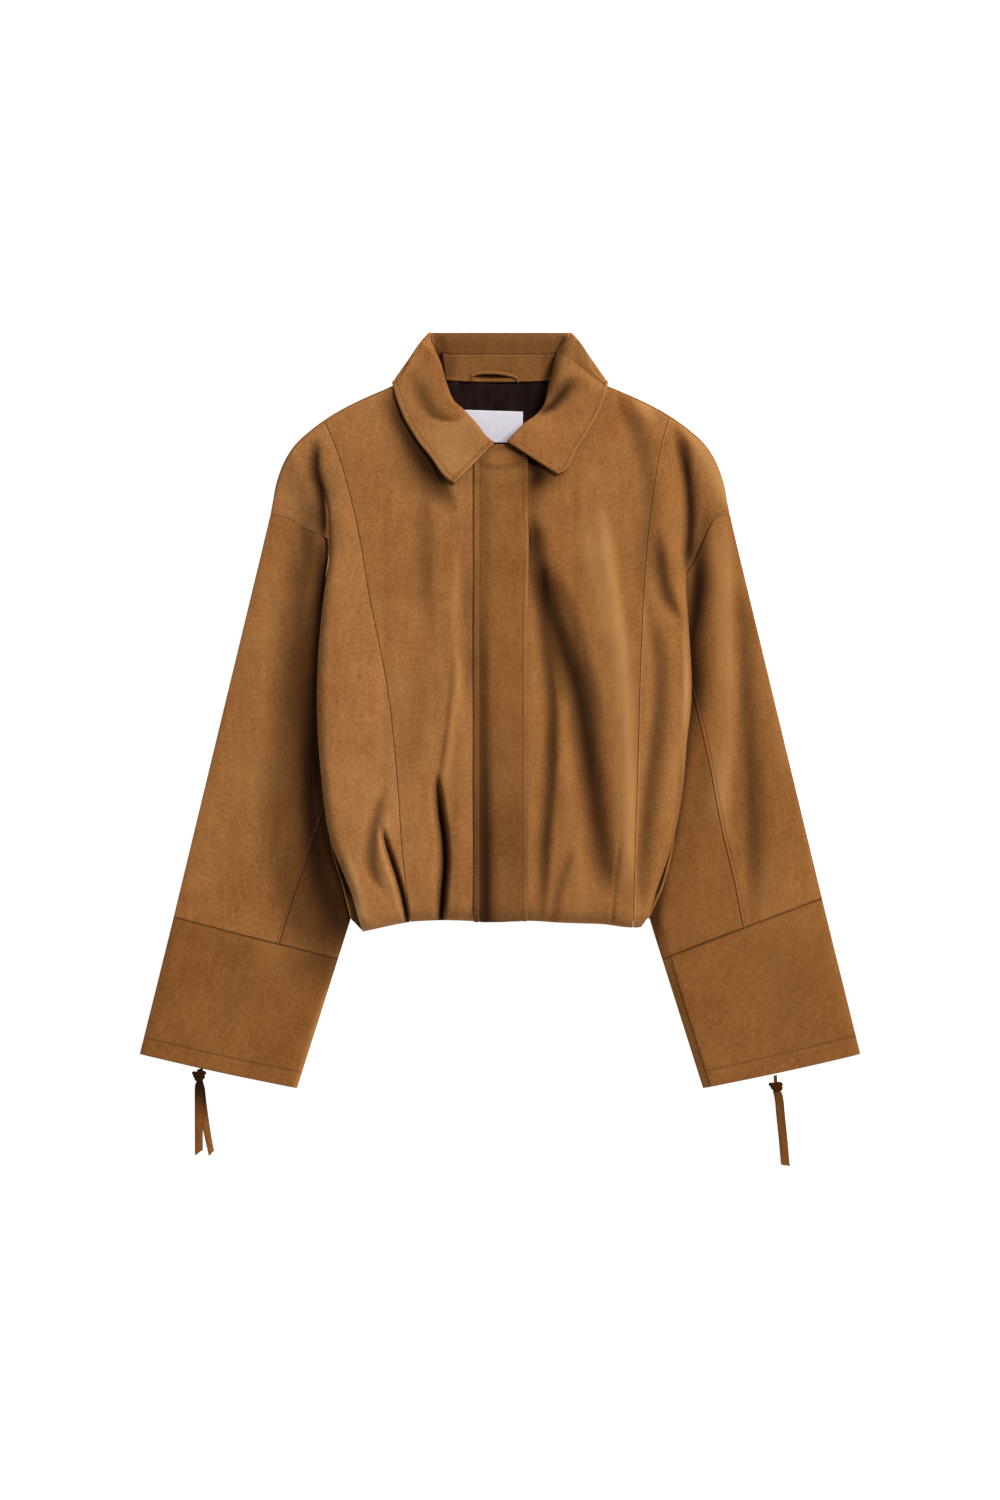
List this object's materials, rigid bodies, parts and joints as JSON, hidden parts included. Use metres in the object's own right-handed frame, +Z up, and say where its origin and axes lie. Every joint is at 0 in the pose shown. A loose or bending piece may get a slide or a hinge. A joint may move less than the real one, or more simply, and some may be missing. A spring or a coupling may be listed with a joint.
{
  "type": "suede jacket",
  "caption": "Cropped suede jacket laid flat: pointed collar, fly placket, princess seams, gathered blouson hem, dropped sleeves with deep cuffs and knotted laces.",
  "frame": {"origin": "on the surface that the jacket lies on, under the middle of its outline without the laces", "axes": "+Z up from the surface through the front of the jacket, +Y from the hem to the collar, +X to the wearer's left"},
  "size_m": [0.718, 0.8327, 0.0347],
  "materials": {
    "suede": "napped suede, tan, mottled nap",
    "suede_dark": "napped suede, darker nap",
    "lining": "dark brown satin lining",
    "label": "white woven label, blank"
  },
  "bodies": {
    "root": {"back_panel": "suede", "back_lining": "lining", "neck_label": "label", "front_side_right": "suede", "front_side_left": "suede", "front_centre_right": "suede", "front_centre_left": "suede", "placket": "suede_dark", "collar_stand": "suede_dark", "collar_fall": "suede", "hang_loop": "suede_dark", "sleeve_upper_right": "suede", "sleeve_upper_left": "suede", "sleeve_front_right": "suede", "sleeve_front_left": "suede", "sleeve_back_right": "suede", "sleeve_back_left": "suede", "cuff_right": "suede", "cuff_left": "suede", "tie_right_neck": "suede_dark", "tie_right_knot": "suede_dark", "tie_right_long": "suede_dark", "tie_right_short": "suede_dark", "tie_left_neck": "suede_dark", "tie_left_knot": "suede_dark", "tie_left_long": "suede_dark"}
  },
  "joints": []
}
